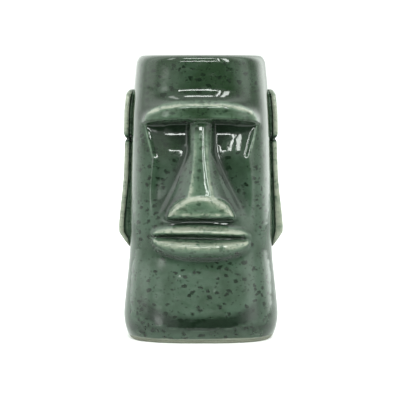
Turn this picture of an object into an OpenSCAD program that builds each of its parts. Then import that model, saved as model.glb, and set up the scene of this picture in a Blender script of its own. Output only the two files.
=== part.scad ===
// Tiki mug with a carved stone-head face: a glazed stoneware cup, its foot ring and the
// relief pieces luted onto its wall. The face looks along -Y, and Z = 0 is the table.

/* [Cup] */
// Height from the table to the top of the lip
mug_height = 150; // [140:1:185]
// Width just under the lip
rim_width = 70; // [58:0.1:84]
// Width at the widest part of the base
base_width = 82.6; // [72:0.1:99.5]
// Depth, front to back, just under the lip
rim_depth = 67; // [56:0.1:81]
// Depth, front to back, at the base
base_depth = 79; // [68:0.5:95]
// Height at which the sides are widest
belly_z = 14; // [11:0.5:20]
// Height at which the front and back stand out most
front_belly_z = 8; // [6:0.5:16]
// Height at which the wall starts to flare out to the base
waist_z = 44; // [40:1:50]
// How far the sides flare out at the base beyond the straight taper
side_flare = 2.3; // [0:0.1:4]
// How far the front and back flare out at the base beyond the straight taper
front_flare = 2.9; // [0:0.1:4]
// Squareness of the plan: 2 is an ellipse, larger is squarer
squareness = 2.8; // [2.2:0.1:3.6]
// Thickness of the cast wall
wall = 4.6; // [3.5:0.1:6]
// Thickness of the floor
floor_thickness = 6; // [4:0.5:9]
// Height of the rounded lip, outside
lip_height = 5; // [4:0.5:7]
// How far the rounded lip comes in, outside
lip_in = 2.9; // [1.5:0.1:3.2]
// How far the wall leans in over the last stretch below the lip
lip_lean = 1.1; // [0:0.1:1.5]
// Height of that leaning stretch
lean_height = 16; // [8:1:18]

/* [Foot] */
// Height of the bare foot ring
foot_height = 1.8; // [1.5:0.1:4]
// Width of the foot ring's annulus
foot_band = 7; // [5:0.5:12]
// How far the rounded base comes in to the foot
foot_in = 5.2; // [3:0.1:7]
// How far the foot ring is set in from the body above it
foot_step = 0.5; // [0.2:0.1:1.5]

/* [Brow] */
// Distance from the top of the lip down to the brow's lower edge
brow_drop = 34; // [30:0.1:41]
// Distance from each end of the brow to the cup's side
brow_margin = 5.5; // [4:0.5:9]
// Height of the brow's face, from its lower edge to the top of its arch
brow_face = 8.5; // [7:0.5:12]
// Height of the hollow bevel above the arch
brow_bevel = 7.5; // [4:0.5:8]
// How far the brow stands out of the forehead
brow_reach = 5; // [3:0.1:7]

/* [Eye sockets and cheeks] */
// Depth of the eye sockets under the brow
socket_depth = 4; // [2:0.1:4.5]
// Depth of the cheeks
cheek_depth = 1.5; // [0.5:0.1:2.5]
// Height above the table at which the cheeks run out
cheek_z = 61; // [58:0.5:64]
// How far the sockets' outer ends are set in from the brow's ends
socket_inset = 1; // [0.5:0.1:3]
// How far the cheeks' outer edges are set in from the brow's ends
cheek_inset = 4.2; // [3:0.1:6]
// How much the cheeks' outer edges curve in at their middle
cheek_pinch = 1.5; // [0:0.1:2.5]

/* [Nose] */
// Height of the nose's lower edge above the mouth line
nose_above_mouth = 10.5; // [9:0.5:13]
// Width of the bridge's front
bridge_width = 8; // [7:0.5:11]
// Width of each sloping flank of the bridge
bridge_flank = 2.8; // [1:0.1:3.5]
// Width of the ridge's front where it meets the tip
ridge_width = 11; // [8:0.5:14]
// Width across the nostrils, at the front
nostril_width = 33.5; // [27:0.1:40.5]
// How far the bridge stands out under the brow
bridge_reach = 2.4; // [1:0.1:4]
// How far the tip stands out
tip_reach = 9.4; // [6:0.1:12]
// Height of the tip's own face, below its arch
tip_face = 11; // [7:0.5:12]
// Height of the bevel over the tip's arch
tip_bevel = 2.5; // [1:0.5:4]

/* [Mouth] */
// Height of the mouth line
mouth_z = 55; // [52:0.5:60]
// Width of the mouth
mouth_width = 52; // [43:0.1:62.5]
// Opening between the lips at the middle
mouth_gap = 3.6; // [3:0.1:5]
// How far the lips stand out
lip_reach = 3.8; // [2.5:0.1:5]
// Height of the upper lip
upper_lip_height = 6.5; // [5:0.5:7.5]
// Height of the lower lip
lower_lip_height = 8; // [6:0.5:11]

/* [Ears] */
// Distance from the top of the lip down to the top of the ears
ear_drop = 18; // [14:0.5:24]
// Height above the table of the lobes' lowest point
lobe_z = 48; // [45:0.5:56]
// Height of the upper ear, from its top to the notch
ear_height = 26; // [20:0.5:32]
// Height over which the lobe slopes out from its lowest point
lobe_slope = 8; // [5:0.5:12]
// Gap between the upper ear and the lobe
ear_notch = 0.3; // [0.2:0.1:1]
// How far the upper ear stands out of the side
ear_reach = 5; // [3.5:0.1:7]
// How far the lobe stands out of the side at its widest
lobe_reach = 5.9; // [4:0.1:8]
// Width of the ear on the side, front to back
ear_width = 17; // [12:0.5:20]
// Thickness of the ear's front rim
ear_rim = 2.6; // [2:0.1:3.2]
// Depth of the hollow behind the front rim
ear_hollow = 3.2; // [1.5:0.1:4]

/* [Hidden] */

glaze_green = [0.31, 0.42, 0.34];
glaze_pale = [0.55, 0.63, 0.53];
bare_clay = [0.80, 0.77, 0.68];

brow_z = mug_height - brow_drop;
nose_z = mouth_z + nose_above_mouth;
crease_run = 0.28;  // share of the way down at which the crease leaves the bridge
ramp_round = 0.15;  // share of the flare's height over which its ends are rounded
feather = 0.3;      // thickness at which a relief piece's margin ends
roof_run = 1.4;     // height over which the socket's roof turns into its back
side_start = 0.95;  // share of the half width at which the front ends and the side starts
back_cells = 30;    // divisions of the sides and back
inside_round = 1.2; // rounding of the lip's inner edge
floor_turn = 8;     // radius between the wall and the floor, inside
echo_share = 0.8;   // how much of the sockets shows on the inside of the wall
inside_floor = foot_height + floor_thickness;

// ---- Small helpers ----

function clamp(v) = max(0, min(1, v));
function mix(a, b, f) = a + (b - a) * f;
function ease(e0, e1, v) = let (f = clamp((v - e0) / (e1 - e0))) f * f * (3 - 2 * f);
// How far a quarter ellipse of run r has come in at a share f of its height
function round_in(r, f) = r * (1 - sqrt(max(0, 1 - pow(clamp(f), 2))));

// ---- The cup's outline ----

// 0 to 1 in a straight line, with its two ends rounded over a share r of it
function soft_ramp(f, r) =
    f < r ? pow(max(0, f + r), 2) / (4 * r) : 1 - f < r ? 1 - pow(max(0, 1 - f + r), 2) / (4 * r) : f;

// Half size of the plan at height z, from half sizes at the rim and at the base
function taper(z, rim, base, flare, belly) =
    mix(base - flare, rim, clamp((z - belly) / (mug_height - belly)))
    + flare * soft_ramp((waist_z - z) / (waist_z - belly), ramp_round)
    - lip_lean * clamp((z - mug_height + lean_height) / lean_height)
    - round_in(lip_in, (z - mug_height + lip_height) / lip_height)
    - round_in(foot_in, (belly - z) / belly);

function half_width(z) = taper(z, rim_width / 2, base_width / 2, side_flare, belly_z);
function half_depth(z) = taper(z, rim_depth / 2, base_depth / 2, front_flare, front_belly_z);

// Point of a rounded square with half sizes a and b, in the direction of an angle
function plan_point(angle, a, b) =
    let (
        ca = pow(abs(cos(angle)) / a, squareness),
        cb = pow(abs(sin(angle)) / b, squareness),
        r = pow(ca + cb, -1 / squareness)
    )
    [r * cos(angle), r * sin(angle)];

// Depth of the plain front at a place x across and z up, as a distance forward of the axis
function plain_front(x, z) =
    half_depth(z) * pow(max(0, 1 - pow(abs(x) / half_width(z), squareness)), 1 / squareness);
// The plain side wall, as a distance out from the axis, at a place y along
function plain_side(y, z) =
    half_width(z) * pow(max(0, 1 - pow(abs(y) / half_depth(z), squareness)), 1 / squareness);

// ---- The carved relief of the cup's own front ----

brow_half = half_width(brow_z) - brow_margin;
cheek_half = brow_half - cheek_inset;
nostril_half = nostril_width / 2;
mouth_half = mouth_width / 2;
beside_nose = cheek_half - nostril_half;
edge_run = 0.23 * beside_nose;      // width over which the cheek's side turns into its floor
edge_start = 0.04 * beside_nose;    // how far outside its line that turn starts
// 0 at the brow's lower edge, 1 where the cheeks run out
function down(z) = (brow_z - z) / (brow_z - cheek_z);
// 0 at the bridge, 1 at the corner of the nose
function spread(z) = clamp((down(z) - crease_run) / 0.62);
// Half width of the crease that runs from the bridge down to the corner of the mouth
function crease(z) =
    mix(bridge_width / 2 + bridge_flank, nostril_half + 0.62 * beside_nose, pow(spread(z), 1.15));
// Half width of the nose where it meets the cup
function nose_root(z) = crease(z) - mix(0.3, 0.42 * beside_nose, spread(z));
// Half width of the outer edge of the socket and cheek
function cheek_edge(z) =
    mix(brow_half - socket_inset, cheek_half - cheek_pinch, clamp(down(z) / 0.35))
    + cheek_pinch * ease(0.35, 0.7, down(z));
// How far the sockets and cheeks are sunk
function sunk(x, z) =
    let (v = down(z), inner = nose_root(z), edge = cheek_edge(z))
    mix(socket_depth, cheek_depth, pow(clamp(v), 0.8))
    * ease(brow_z, brow_z - roof_run, z) * ease(1, 0.72, v)
    * ease(inner - 1.5 * edge_start, crease(z) + edge_start, abs(x))
    * ease(edge + edge_start, edge - edge_run, abs(x));
// The soft mound that carries the mouth
function muzzle(x, z) =
    pow(clamp(1 - pow(x / (mouth_half + 5), 2)), 2) * pow(clamp(1 - pow((z - mouth_z) / 15, 2)), 2);
// The line between the lips
function mouth_line(x, z) =
    1.3 * ease(mouth_half, mouth_half - 5, abs(x)) * pow(clamp(1 - pow((z - mouth_z) / 3, 2)), 2);
// Height of the cup's own front over the plain outline
function carved(x, z) = muzzle(x, z) - mouth_line(x, z) - sunk(x, z);

// A point on the cup's front, standing h out of the plain outline
function on_front(x, z, h) = [x, -plain_front(x, z) - h, z];

// ---- Closed meshes ----

// Faces of a skin over n rings of m points each, with its two ends closed by fans
function skin_faces(n, m) = concat(
    [for (i = [0:n - 2], j = [0:m - 1]) let (k = (j + 1) % m) [i * m + j, (i + 1) * m + j, i * m + k]],
    [for (i = [0:n - 2], j = [0:m - 1]) let (k = (j + 1) % m) [(i + 1) * m + j, (i + 1) * m + k, i * m + k]],
    [for (j = [0:m - 1]) [n * m, j, (j + 1) % m]],
    [for (j = [0:m - 1]) [n * m + 1, (n - 1) * m + (j + 1) % m, (n - 1) * m + j]]
);
function mean(points) = [for (k = [0:2]) [for (p = points) p[k]] * [for (p = points) 1] / len(points)];

// Solid skinned over rings that run anticlockwise seen from the last ring's side
module skin(rings) {
    n = len(rings);
    m = len(rings[0]);
    polyhedron(
        points = concat([for (r = rings) each r], [mean(rings[0]), mean(rings[n - 1])]),
        faces = skin_faces(n, m)
    );
}

// Closed ring of a slab's cross-section: out along the outer points, back along the inner ones
function slab_ring(outer, inner) = concat(outer, [for (i = [len(inner) - 1:-1:0]) inner[i]]);

// Faces of a slab: n rings, each of m outer points and m inner points behind them
function slab_faces(n, m) = let (w = 2 * m) concat(
    [for (i = [0:n - 2], j = [0:w - 1]) let (k = (j + 1) % w) [i * w + j, (i + 1) * w + j, i * w + k]],
    [for (i = [0:n - 2], j = [0:w - 1]) let (k = (j + 1) % w) [(i + 1) * w + j, (i + 1) * w + k, i * w + k]],
    [for (j = [0:m - 2]) [j, j + 1, w - 2 - j]],
    [for (j = [0:m - 2]) [j, w - 2 - j, w - 1 - j]],
    [for (j = [0:m - 2]) let (o = (n - 1) * w) [o + j, o + w - 2 - j, o + j + 1]],
    [for (j = [0:m - 2]) let (o = (n - 1) * w) [o + j, o + w - 1 - j, o + w - 2 - j]]
);

module slab(rings) {
    polyhedron(
        points = [for (r = rings) each r],
        faces = slab_faces(len(rings), len(rings[0]) / 2)
    );
}

// ---- Cup ----

// Places across the front at height z, which follow the nose, the crease and the cheek's edge.
// They draw in with the lip, and end where the side takes over.
function stations(z) =
    let (
        root = nose_root(z), fold = crease(z) + edge_start, edge = cheek_edge(z),
        end = side_start * half_width(min(z, mug_height - lean_height)),
        draw_in = min(1, half_width(z) / half_width(mug_height - lean_height)),
        half = concat(
            [for (i = [1:4]) root * i / 4], [for (i = [1:2]) mix(root, fold, i / 2)],
            [for (i = [1:5]) mix(fold, edge - edge_run, i / 5)],
            [for (i = [1:2]) mix(edge - edge_run, edge + edge_start, i / 2)],
            [for (i = [1:3]) mix(edge + edge_start, end, i / 3)]
        ),
        n = len(half)
    )
    [for (i = [-n:n]) i == 0 ? 0 : draw_in * sign(i) * half[abs(i) - 1]];

// Ring at height z of a plan with half sizes a and b, its front standing out by relief, one
// value for each station
function ring(z, a, b, relief) =
    let (
        places = stations(z), share = a / half_width(z), last = places[len(places) - 1] * share,
        start = atan2(-b * pow(1 - pow(last / a, squareness), 1 / squareness), last)
    )
    concat(
        [for (i = [0:len(places) - 1])
            let (x = places[i] * share)
            [x, -b * pow(1 - pow(abs(x) / a, squareness), 1 / squareness) - relief[i], z]],
        [for (i = [1:back_cells - 1])
            let (p = plan_point(mix(start, 180 - start, i / back_cells), a, b)) [p[0], p[1], z]]
    );

function outer_ring(z) = ring(z, half_width(z), half_depth(z), [for (x = stations(z)) carved(x, z)]);

// Ring of the inside at height z, which follows the sockets so that the wall keeps its thickness
function inner_ring(z) =
    let (
        widen = round_in(inside_round, (z - mug_height + 2 * inside_round) / (2 * inside_round)),
        turn = round_in(floor_turn, 1 - (z - inside_floor) / floor_turn),
        set_in = wall + turn - widen,
        level = min(z, mug_height - lip_height)
    )
    ring(
        z, half_width(level) - set_in, half_depth(level) - set_in,
        [for (x = stations(z)) -echo_share * sunk(x, z)]
    );

face_rows = 32;
outer_heights = concat(
    [for (i = [0:5]) mix(foot_height, belly_z, 1 - cos(15 * i))],
    [for (i = [0:7]) mix(belly_z, cheek_z - 18, i / 8)],
    [for (i = [0:face_rows - 1]) mix(cheek_z - 18, brow_z - roof_run, i / face_rows)],
    [for (i = [0:2]) brow_z - roof_run + roof_run * i / 2],
    [for (i = [1:4]) mix(brow_z, mug_height - lean_height, i / 4)],
    [for (i = [1:2]) mix(mug_height - lean_height, mug_height - lip_height, i / 2)],
    [for (i = [1:6]) mug_height - lip_height + lip_height * sin(15 * i)]
);
inner_heights = concat(
    [for (i = [0:3]) mug_height - 2 * inside_round * (1 - cos(30 * i))],
    [for (i = [1:18]) mix(mug_height - 2 * inside_round, inside_floor + floor_turn, i / 18)],
    [for (i = [1:5]) inside_floor + floor_turn * (1 - sin(18 * i))]
);

module cup_body() {
    color(glaze_green)
        skin(concat([for (z = outer_heights) outer_ring(z)], [for (z = inner_heights) inner_ring(z)]));
}

// The bare ring that the cup stands on
function foot_outline(set_in) =
    let (z = foot_height)
    let (plan = ring(z, half_width(z) - set_in, half_depth(z) - set_in, [for (x = stations(z)) 0]))
    [for (p = plan) [p[0], p[1]]];
module foot_ring() {
    color(bare_clay)
        linear_extrude(height = foot_height)
            difference() {
                polygon(foot_outline(foot_step));
                polygon(foot_outline(foot_step + foot_band));
            }
}

// ---- Brow ----

brow_cells = 32;
function brow_share(x) = min(1, abs(x) / brow_half);
// Height of the arch above the lower edge, and reach of the brow, at a place x across
function arch(x) = 0.8 + (brow_face - 0.8) * pow(1 - pow(brow_share(x), 2.6), 1 / 2.6);
function brow_out(x) = 0.8 + (brow_reach - 0.8) * pow(1 - pow(brow_share(x), 4), 0.5);
// Outer points are [height above the lower edge, share of the reach]
function brow_outer(x) =
    let (t = arch(x), bevel = brow_bevel * (0.35 + 0.65 * t / brow_face))
    [
        [0, 0.72], [0.1 * t, 0.88], [0.3 * t, 1], [0.85 * t, 0.98], [t + 0.02 * bevel, 0.88],
        [t + 0.25 * bevel, 0.5], [t + 0.5 * bevel, 0.2], [t + bevel, 0]
    ];
module brow_ridge() {
    color(glaze_pale)
        slab([
            for (i = [0:brow_cells])
                let (x = brow_half * (1 - 2 * i / brow_cells), path = brow_outer(x))
                slab_ring(
                    [for (p = path) on_front(x, brow_z + p[0], max(feather, p[1] * brow_out(x)))],
                    [for (p = path) on_front(x, brow_z + p[0], 0)]
                )
        ]);
}

// ---- Nose ----

nose_cells = 22;
nose_heights = concat(
    [for (i = [0:13]) mix(brow_z, nose_z + tip_face + tip_bevel, i / 14)],
    [for (i = [0:14]) mix(nose_z + tip_face + tip_bevel, nose_z, i / 14)]
);
// 0 under the brow, 1 at the nose's lower edge
function nose_share(z) = clamp((brow_z - z) / (brow_z - nose_z));
function ridge_half(z) = mix(bridge_width, ridge_width, nose_share(z)) / 2;
// The tip's upper edge, an arch over its own face
function tip_line(x) = nose_z + tip_face * pow(clamp(1 - pow(x / nostril_half, 2)), 0.6);
// How far the ridge stands out, with its flanks falling to the cup
function ridge_out(x, z) =
    let (s = clamp((abs(x) - ridge_half(z)) / max(0.5, nose_root(z) - ridge_half(z))))
    mix(bridge_reach, 0.9 * tip_reach, pow(clamp((brow_z - z) / (brow_z - nose_z - tip_face)), 1.5))
    * pow(1 - s, 1.5);
// How far the pillow of the tip stands out
function tip_out(x, z) =
    let (
        fall = 1 - 0.3 * pow(min(1, abs(x) / nostril_half), 2),
        lean = 1 - 0.2 * pow(clamp((tip_line(x) - z) / tip_face), 2),
        s = clamp((abs(x) - nostril_half) / (nose_root(nose_z) - nostril_half))
    )
    tip_reach * fall * lean * ease(tip_line(x) + tip_bevel, tip_line(x), z) * pow(1 - s, 1.5);
function nose_out(x, z) = max(ridge_out(x, z), tip_out(x, z));
module nose() {
    color(glaze_green)
        slab([
            for (z = nose_heights)
                let (root = nose_root(z))
                slab_ring(
                    [for (j = [0:nose_cells])
                        let (
                            x = root * sin(90 * (1 - 2 * j / nose_cells)),
                            base = carved(x, min(z, brow_z - roof_run))
                        )
                        on_front(x, z, base + max(feather, nose_out(x, z) - base))],
                    [for (j = [0:nose_cells])
                        let (x = root * sin(90 * (1 - 2 * j / nose_cells)))
                        on_front(x, z, carved(x, z))]
                )
        ]);
}

// ---- Lips ----

lip_cells = 24;
function lip_share(x) = min(1, abs(x) / mouth_half);
function lip_out(x) = 0.6 + (lip_reach - 0.6) * pow(1 - pow(lip_share(x), 4), 0.5);
// A lip's points are [share of its height away from the mouth, share of its reach]
module lip(edge, path, height, side) {
    slab([
        for (i = [0:lip_cells])
            let (
                x = -side * mouth_half * (2 * i / lip_cells - 1),
                tall = height * (0.3 + 0.7 * pow(1 - pow(lip_share(x), 2.5), 1 / 2.5)),
                start = mouth_z + side * edge * (1 - 0.75 * pow(lip_share(x), 2))
            )
            slab_ring(
                [for (p = path) let (z = start + side * p[0] * tall)
                    on_front(x, z, carved(x, z) + max(feather, p[1] * lip_out(x)))],
                [for (p = path) let (z = start + side * p[0] * tall) on_front(x, z, carved(x, z))]
            )
    ]);
}
module upper_lip() {
    path = [[0, 0.85], [0.1, 1], [0.3, 0.98], [0.5, 0.72], [0.75, 0.28], [1, 0]];
    color(glaze_pale) lip(mouth_gap / 2, path, upper_lip_height, 1);
}
module lower_lip() {
    path = [[0, 0.3], [0.12, 0.75], [0.3, 1], [0.5, 0.95], [0.75, 0.45], [1, 0]];
    color(glaze_pale) lip(mouth_gap / 2, path, lower_lip_height, -1);
}

// ---- Ears ----

ear_z = mug_height - ear_drop;
notch_z = ear_z - ear_height;
ear_front = -7;     // where the ear's front rim ends, along the depth
// One closed ring of the ear at height z: from its back foot over the outside to the rim, in
// under the rim and down to the wall. front and back are where it ends along the depth, reach
// is how far it stands out, and curl is 1 where the rim hangs over the hollow, 0 where not.
function ear_ring(side, z, front, back, reach, curl) =
    let (
        root = front + min(ear_hollow * curl + 0.9, 0.5 * (back - front)),
        rim = min(ear_rim, 0.6 * reach),
        under = reach - rim,
        outline = [
            [back, feather / 2], [mix(back, front, 0.12), 0.3 * reach], [mix(back, front, 0.3), 0.56 * reach],
            [mix(back, front, 0.5), 0.72 * reach], [mix(back, front, 0.75), 0.92 * reach],
            [mix(front, root, 0.5), reach], [mix(front, root, 0.1), reach - 0.2 * rim],
            [front, reach - 0.5 * rim], [mix(front, root, 0.1), reach - 0.9 * rim],
            [mix(front, root, 0.6), 0.9 * under], [root, 0.6 * under], [root, 0.25 * under],
            [mix(root, front, 0.2 * curl), feather / 2]
        ],
        contact = [
            [mix(root, front, 0.1 * curl), 0], [mix(root, back, 0.33), 0],
            [mix(root, back, 0.66), 0], [mix(root, back, 0.98), 0]
        ],
        loop = [for (p = concat(outline, contact)) [side * (plain_side(p[0], z) + p[1]), p[0], z]]
    )
    side < 0 ? loop : [for (i = [len(loop) - 1:-1:0]) loop[i]];

// Share of full size at a distance from a rounded end: 0 at the end, 1 after the run
function end_round(distance, run) = sqrt(max(0, 1 - pow(1 - clamp(distance / run), 2)));

ear_rows = 16;
module ear(side) {
    skin([
        for (i = [0:ear_rows])
            let (
                z = mix(notch_z + ear_notch / 2, ear_z, 1 - pow(1 - i / ear_rows, 1.4)),
                top = max(0.25, end_round(ear_z - z, ear_width / 2)),
                low = end_round(z - notch_z + 0.6, 4),
                back = ear_front + ear_width * (0.72 + 0.28 * ease(notch_z, notch_z + 12, z)),
                middle = mix(ear_front, back, 0.45)
            )
            ear_ring(side, z, mix(middle, ear_front, top), mix(middle, back, top),
                ear_reach * (0.3 + 0.7 * top) * (0.82 + 0.18 * low), min(top, low))
    ]);
}
lobe_rows = 24;
module earlobe(side) {
    skin([
        for (i = [0:lobe_rows])
            let (
                z = mix(lobe_z, notch_z - ear_notch / 2, pow(i / lobe_rows, 1.25)),
                bottom = max(0.25, end_round(z - lobe_z, lobe_slope)),
                slope = max(0.12, pow(clamp((z - lobe_z) / lobe_slope), 0.8)),
                top = end_round(notch_z - z + 0.6, 4),
                swell = ease(lobe_z + 40, lobe_z + 8, z),
                back = ear_front + ear_width * (0.72 + 0.2 * swell),
                middle = mix(ear_front, back, 0.4)
            )
            ear_ring(side, z, mix(middle, ear_front, bottom), mix(middle, back, bottom),
                mix(0.8 * ear_reach, lobe_reach, swell) * slope * (0.95 + 0.05 * top), min(slope, top))
    ]);
}
module left_ear() {
    color(glaze_green) ear(-1);
}
module right_ear() {
    color(glaze_green) ear(1);
}
module left_earlobe() {
    color(glaze_pale) earlobe(-1);
}
module right_earlobe() {
    color(glaze_pale) earlobe(1);
}

cup_body();
foot_ring();
brow_ridge();
nose();
upper_lip();
lower_lip();
left_ear();
right_ear();
left_earlobe();
right_earlobe();
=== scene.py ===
"""Tiki mug with a carved stone-head face, in glazed stoneware on a bare clay foot, in a white tent.

Shapes are worked out in millimetres and set in metres. The face looks along -Y.
"""
import math
import bpy
import numpy as np
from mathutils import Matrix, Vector


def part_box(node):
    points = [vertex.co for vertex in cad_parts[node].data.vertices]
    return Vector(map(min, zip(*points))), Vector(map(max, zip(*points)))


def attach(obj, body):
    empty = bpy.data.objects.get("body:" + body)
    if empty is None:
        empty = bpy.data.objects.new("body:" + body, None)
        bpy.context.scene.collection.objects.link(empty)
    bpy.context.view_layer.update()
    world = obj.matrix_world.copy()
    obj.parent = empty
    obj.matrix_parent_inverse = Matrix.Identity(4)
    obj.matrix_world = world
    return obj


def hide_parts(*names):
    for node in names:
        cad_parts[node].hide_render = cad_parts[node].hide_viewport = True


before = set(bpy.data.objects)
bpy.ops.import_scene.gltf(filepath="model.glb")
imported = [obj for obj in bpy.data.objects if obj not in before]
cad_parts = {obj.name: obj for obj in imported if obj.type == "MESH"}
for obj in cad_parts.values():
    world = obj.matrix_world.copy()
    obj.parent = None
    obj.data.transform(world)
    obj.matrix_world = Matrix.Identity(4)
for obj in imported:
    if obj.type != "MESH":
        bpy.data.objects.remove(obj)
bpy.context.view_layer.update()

MM = 0.001


def box_mm(node):
    low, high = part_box(node)
    return np.array(low) / MM, np.array(high) / MM


# ---- Sizes of the mug, from the frame where it holds them ----

cup_low, cup_high = box_mm("cup_body")
brow_low, brow_high = box_mm("brow_ridge")
nose_low = box_mm("nose")[0]
upper_low, upper_high = box_mm("upper_lip")
lower_high = box_mm("lower_lip")[1]
ear_low, ear_high = box_mm("left_ear")
lobe_low, lobe_high = box_mm("left_earlobe")

HEIGHT = cup_high[2]
FOOT = cup_low[2]
RIM_X, RIM_Y = 35.0, 33.5
SIDE_BELLY, FRONT_BELLY, WAIST = 14.0, 8.0, 44.0
SIDE_FLARE, FRONT_FLARE, FLARE_ROUND = 2.3, 2.9, 0.2
BASE_X = cup_high[0] + 0.25 * FLARE_ROUND * SIDE_FLARE
BASE_Y = cup_high[1] + 0.25 * FLARE_ROUND * FRONT_FLARE
SQUARE = 2.8
WALL, FLOOR = 4.6, 6.0
LIP_HEIGHT, LIP_IN, LEAN_HEIGHT = 5.0, 2.9, 16.0
FRONT_LIP_HEIGHT, FRONT_LIP_IN = 3.0, 2.0
SIDE_LEAN, FRONT_LEAN, SIDE_SWELL = 1.1, 0.2, 0.8
FOOT_IN, FOOT_STEP, FOOT_BAND = 5.2, 0.5, 7.0
INSIDE_ROUND, FLOOR_TURN, INSIDE_ECHO = 1.2, 8.0, 0.8
INSIDE_FLOOR = FOOT + FLOOR

BROW_Z, BROW_HALF = brow_low[2], brow_high[0]
BROW_FACE, BROW_REACH = 8.5, 5.0
BROW_BEVEL = brow_high[2] - brow_low[2] - BROW_FACE
BROW_SAG, BROW_ROUND = 1.8, 3.0
SOCKET, CHEEK, CHEEK_Z = 4.8, 1.3, 61.0
CHEEK_HALF, CHEEK_PINCH, SOCKET_INSET = BROW_HALF - 4.2, 1.5, 1.0

NOSE_Z, BRIDGE_HALF, RIDGE_HALF, BRIDGE_FLANK, NOSTRIL_HALF = nose_low[2], 3.3, 6.6, 3.3, 16.75
BRIDGE_REACH, TIP_REACH, TIP_FACE, TIP_BEVEL = 2.4, 9.4, 11.0, 2.6
BESIDE_NOSE = CHEEK_HALF - NOSTRIL_HALF

MOUTH_HALF, MOUTH_GAP, LIP_REACH = upper_high[0], 3.9, 3.8
MOUTH_Z = (upper_low[2] + lower_high[2]) / 2
MOUTH_TILT, MOUTH_LINE = 0.02, 2.4
UPPER_LIP, LOWER_LIP = 6.5, 8.6

EAR_FRONT = ear_low[1]
EAR_TOP, NOTCH_Z, LOBE_Z = ear_high[2], (ear_low[2] + lobe_high[2]) / 2, lobe_low[2]
EAR_REACH, LOBE_REACH, EAR_WIDTH, LOBE_SLOPE = 4.2, 5.5, 17.0, 8.0
EAR_RIM, LEFT_LOBE_RIM, RIGHT_LOBE_RIM = 2.7, 2.8, 4.2


# ---- Small helpers ----

def mix(a, b, f):
    return a + (b - a) * f


def clamp(v):
    return np.clip(v, 0.0, 1.0)


def ease(start, end, v):
    f = clamp((v - start) / (end - start))
    return f * f * (3 - 2 * f)


def round_in(r, f):
    return r * (1 - np.sqrt(np.maximum(0.0, 1 - clamp(f) ** 2)))


def near(distance, width):
    """1 where distance is 0, falling off to both sides."""
    return np.exp(-(distance / width) ** 2)


def unit(v):
    return v / np.maximum(1e-12, np.linalg.norm(v, axis=-1, keepdims=True))


# ---- The cup's plain outline ----

def soft_ramp(f):
    """0 to 1 in a straight line, with its two ends rounded."""
    r = FLARE_ROUND
    low = np.maximum(0.0, f + r) ** 2 / (4 * r)
    high = 1 - np.maximum(0.0, 1 - f + r) ** 2 / (4 * r)
    return np.where(f < r, low, np.where(1 - f < r, high, f))


def taper(z, rim, base, flare, belly, lean, lip_in, lip_height):
    return (mix(base - flare, rim, clamp((z - belly) / (HEIGHT - belly)))
            + flare * soft_ramp((WAIST - z) / (WAIST - belly))
            - lean * clamp((z - HEIGHT + LEAN_HEIGHT) / LEAN_HEIGHT)
            - round_in(lip_in, (z - HEIGHT + lip_height) / lip_height)
            - round_in(FOOT_IN, (belly - z) / belly))


def half_width(z):
    swell = SIDE_SWELL * ease(48, 62, z) * ease(134, 118, z)
    return taper(z, RIM_X, BASE_X, SIDE_FLARE, SIDE_BELLY, SIDE_LEAN, LIP_IN, LIP_HEIGHT) + swell


def half_depth(z):
    return taper(z, RIM_Y, BASE_Y, FRONT_FLARE, FRONT_BELLY, FRONT_LEAN, FRONT_LIP_IN, FRONT_LIP_HEIGHT)


def rounded_square(x, a, b):
    """How far out a rounded square with half sizes a and b reaches, at a place x across."""
    return b * np.maximum(0.0, 1 - (np.abs(x) / a) ** SQUARE) ** (1 / SQUARE)


def plain_front(x, z):
    return rounded_square(x, half_width(z), half_depth(z))


def plain_side(y, z):
    return rounded_square(y, half_depth(z), half_width(z))


# ---- The carved face, as heights over the plain outline ----

def down(z):
    return (BROW_Z - z) / (BROW_Z - CHEEK_Z)


def spread(z):
    return clamp((down(z) - 0.28) / 0.62)


def crease(z):
    return mix(BRIDGE_HALF + BRIDGE_FLANK, NOSTRIL_HALF + 0.62 * BESIDE_NOSE, spread(z) ** 1.15)


def nose_root(z):
    return crease(z) - mix(0.3, 0.42 * BESIDE_NOSE, spread(z))


def cheek_edge(z):
    pinch = mix(BROW_HALF - SOCKET_INSET, CHEEK_HALF - CHEEK_PINCH, clamp(down(z) / 0.35))
    return pinch + CHEEK_PINCH * ease(0.35, 0.7, down(z))


def brow_edge(x):
    """Height of the brow's lower edge."""
    return BROW_Z - BROW_SAG * np.minimum(1.0, np.abs(x) / BROW_HALF) ** 2.5


SOCKET_RISE = ((0.0, 0.05, 0.10, 0.14, 0.27, 0.34, 1.0), (0.84, 0.96, 1.0, 0.96, 0.5, 0.42, 0.0))


def sunk(x, z):
    """Depth of the sockets and cheeks: deep under the brow, then rising to a nearly flat cheek."""
    top, v = brow_edge(x), down(z)
    deep = mix(CHEEK, SOCKET, np.interp(v, SOCKET_RISE[0], SOCKET_RISE[1]))
    edge = cheek_edge(z)
    toward_edge = clamp((np.abs(x) - crease(z)) / np.maximum(4.0, edge - crease(z)))
    level = 1 - 0.6 * toward_edge ** 1.6 * clamp(1.6 - 1.6 * v)
    inside = ease(crease(z) - 1.6, crease(z) + 0.6, np.abs(x))
    outside = ease(edge + mix(0.5, 1.6, clamp(v)), edge - mix(2.0, 4.0, clamp(v)), np.abs(x))
    return deep * level * ease(top + 0.3, top - 0.3, z) * ease(1, 0.72, v) * inside * outside


def muzzle(x, z):
    return clamp(1 - (x / (MOUTH_HALF + 5)) ** 2) ** 2 * clamp(1 - ((z - MOUTH_Z) / 15) ** 2) ** 2


def mouth_level(x):
    return MOUTH_Z - MOUTH_TILT * x


def mouth_line(x, z):
    sides = ease(MOUTH_HALF, MOUTH_HALF - 5, np.abs(x))
    return MOUTH_LINE * sides * clamp(1 - ((z - mouth_level(x)) / 3) ** 2) ** 2


def carved(x, z):
    return muzzle(x, z) - mouth_line(x, z) - sunk(x, z)


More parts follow.
